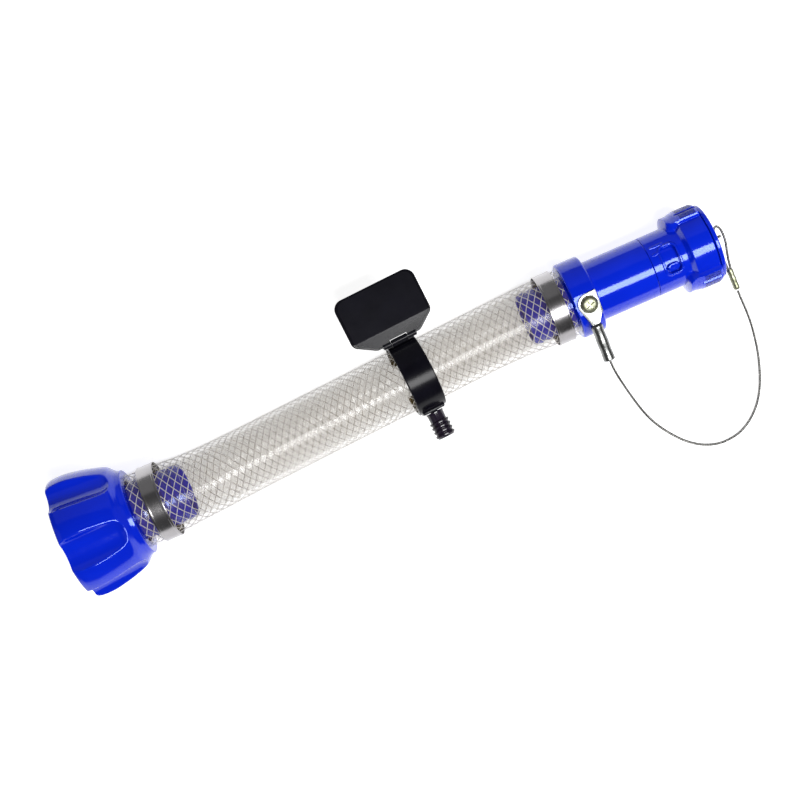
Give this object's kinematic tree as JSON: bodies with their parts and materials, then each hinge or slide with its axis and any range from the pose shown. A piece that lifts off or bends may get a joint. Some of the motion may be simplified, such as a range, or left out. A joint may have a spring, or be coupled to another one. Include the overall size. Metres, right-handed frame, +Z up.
{
  "type": "short braided transfer hose with couplings",
  "caption": "Clear braided transfer hose with a swivel union nut, a locking outlet coupling with a dust plug on a wire lanyard, and a clip with a plate and barbed stud.",
  "frame": {"origin": "centre of the bottom of the bounding box of everything but the free lanyard cable, on the surface the object lies on", "axes": "+X from the inlet nut to the outlet, parallel to both coupling axes; +Z up; +Y towards the clip's plate"},
  "size_m": [0.4975, 0.2022, 0.0873],
  "materials": {
    "blue_plastic": "glossy moulded royal blue plastic",
    "clear_pvc": "clear PVC with a white braided yarn in its wall",
    "stainless": "bright rolled stainless steel",
    "zinc_plate": "yellowish zinc plate",
    "wire_rope": "fine stranded stainless wire rope",
    "brass": "turned brass",
    "black_plastic": "satin black moulded plastic",
    "rubber": "black seal rubber"
  },
  "bodies": {
    "hose_assembly": {"hose": "clear_pvc", "inlet_hose_tail": "blue_plastic", "inlet_gasket": "rubber", "inlet_band_clamp": "stainless", "outlet_band_clamp": "stainless", "outlet_body": "blue_plastic", "sleeve_o_ring": "rubber", "lanyard_screw": "zinc_plate", "screw_insert": "brass", "lanyard_terminal": "stainless", "lanyard_cable": "wire_rope"},
    "inlet_nut": {"inlet_nut": "blue_plastic"},
    "locking_sleeve": {"locking_sleeve": "blue_plastic"},
    "dust_plug": {"dust_plug": "blue_plastic", "plug_o_ring": "rubber", "plug_eye": "stainless", "plug_eye_nut": "stainless", "lanyard_ferrule": "zinc_plate", "lanyard_end_loop": "wire_rope"},
    "hose_clip": {"clip_ring": "black_plastic", "clip_hinge_pin": "stainless", "barbed_stud": "black_plastic"},
    "clip_plate": {"clip_plate": "black_plastic"}
  },
  "joints": [
    {"name": "inlet_nut_swivel", "type": "hinge", "parent": "hose_assembly", "child": "inlet_nut", "pos_m": [-0.224, -0.01798, 0.04366], "axis": [1, 0, 0], "continuous": true},
    {"name": "sleeve_turn", "type": "hinge", "parent": "hose_assembly", "child": "locking_sleeve", "pos_m": [0.2135, -0.00398, 0.0276], "axis": [1, 0, 0], "range_deg": [0, 33]},
    {"name": "dust_plug_pull", "type": "slide", "parent": "hose_assembly", "child": "dust_plug", "axis": [1, 0, 0], "range_m": [0, 0.05]},
    {"name": "clip_turn", "type": "hinge", "parent": "hose_assembly", "child": "hose_clip", "pos_m": [0.01345, -0.00807, 0.0323], "axis": [0.9959, 0.0592, -0.0679], "continuous": true},
    {"name": "plate_fold", "type": "hinge", "parent": "hose_clip", "child": "clip_plate", "pos_m": [0.01278, 0.01833, 0.04547], "axis": [0.9959, 0.0592, -0.0679], "range_deg": [0, 110]}
  ]
}
